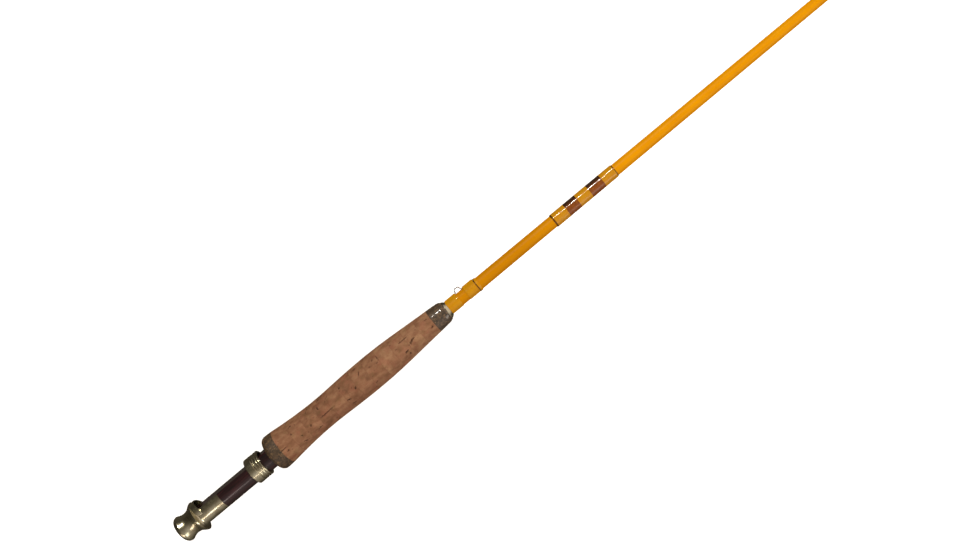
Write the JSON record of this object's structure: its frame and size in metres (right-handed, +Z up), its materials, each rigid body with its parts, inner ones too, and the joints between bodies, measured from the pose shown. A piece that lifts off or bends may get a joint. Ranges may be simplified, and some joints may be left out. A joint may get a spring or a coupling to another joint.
{
  "type": "fly rod",
  "caption": "Take-apart fly rod with a shaped cork grip, hooded butt cap and sliding-ring reel seat, tapered yellow glass blank, thread wraps and line guides.",
  "frame": {"origin": "centre of the butt cap's flat end, on the rod's axis", "axes": "+X along the rod towards the tip, +Y towards the side that the reel and the guides are on, +Z up across the rod as it lies on its side"},
  "size_m": [2.1336, 0.0363, 0.0304],
  "materials": {
    "nickel_silver": "satin polished, champagne tint",
    "rosewood": "dark stained and lacquered, gloss",
    "cork": "sanded natural cork, matte, handled",
    "burl_cork": "burl cork, fine grain, sealed",
    "yellow_glass": "translucent amber-yellow fibreglass, satin",
    "spigot_glass": "ground fibreglass, satin",
    "yellow_thread": "thread under clear epoxy, gloss",
    "brown_thread": "thread under clear epoxy, gloss",
    "chestnut_thread": "thread under clear epoxy, gloss",
    "chromed_wire": "polished hard chrome",
    "ceramic": "polished grey-black ceramic"
  },
  "bodies": {
    "butt_section": {"brown_band_front": "chestnut_thread", "brown_band_rear": "chestnut_thread", "butt_blank": "yellow_glass", "butt_cap": "nickel_silver", "butt_ferrule_wrap": "yellow_thread", "cork_ring_01": "cork", "cork_ring_02": "cork", "cork_ring_03": "cork", "cork_ring_04": "cork", "cork_ring_05": "cork", "cork_ring_06": "cork", "cork_ring_07": "cork", "cork_ring_08": "cork", "cork_ring_09": "cork", "cork_ring_10": "cork", "cork_ring_11": "cork", "cork_ring_12": "cork", "ferrule_spigot": "spigot_glass", "front_burl_ring": "burl_cork", "hook_keeper": "chromed_wire", "keeper_trim": "brown_thread", "keeper_wrap_end": "yellow_thread", "keeper_wrap_front": "yellow_thread", "keeper_wrap_rear": "yellow_thread", "label_trim_front": "brown_thread", "label_trim_rear": "brown_thread", "label_wrap_front": "yellow_thread", "label_wrap_middle": "yellow_thread", "label_wrap_rear": "yellow_thread", "rear_burl_ring": "burl_cork", "reel_seat_insert": "rosewood", "snake_guide_1": "chromed_wire", "snake_guide_1_wraps": "yellow_thread", "stripping_guide_frame": "chromed_wire", "stripping_guide_ring": "ceramic", "stripping_guide_wraps": "yellow_thread", "winding_check": "nickel_silver"},
    "seat_ring": {"sliding_ring": "nickel_silver"},
    "tip_section": {"tip_blank": "yellow_glass", "tip_ferrule_wrap": "yellow_thread", "tip_top_tube": "chromed_wire", "tip_top_loop": "chromed_wire", "tip_top_wrap": "yellow_thread", "snake_guide_2": "chromed_wire", "snake_guide_2_wraps": "yellow_thread", "snake_guide_3": "chromed_wire", "snake_guide_3_wraps": "yellow_thread", "snake_guide_4": "chromed_wire", "snake_guide_4_wraps": "yellow_thread", "snake_guide_5": "chromed_wire", "snake_guide_5_wraps": "yellow_thread"}
  },
  "joints": [
    {"name": "ring_slide", "type": "slide", "parent": "butt_section", "child": "seat_ring", "axis": [-1, 0, 0], "range_m": [-0.0075, 0.044]},
    {"name": "tip_slide", "type": "slide", "parent": "butt_section", "child": "tip_section", "axis": [1, 0, 0], "range_m": [0, 0.06]}
  ]
}
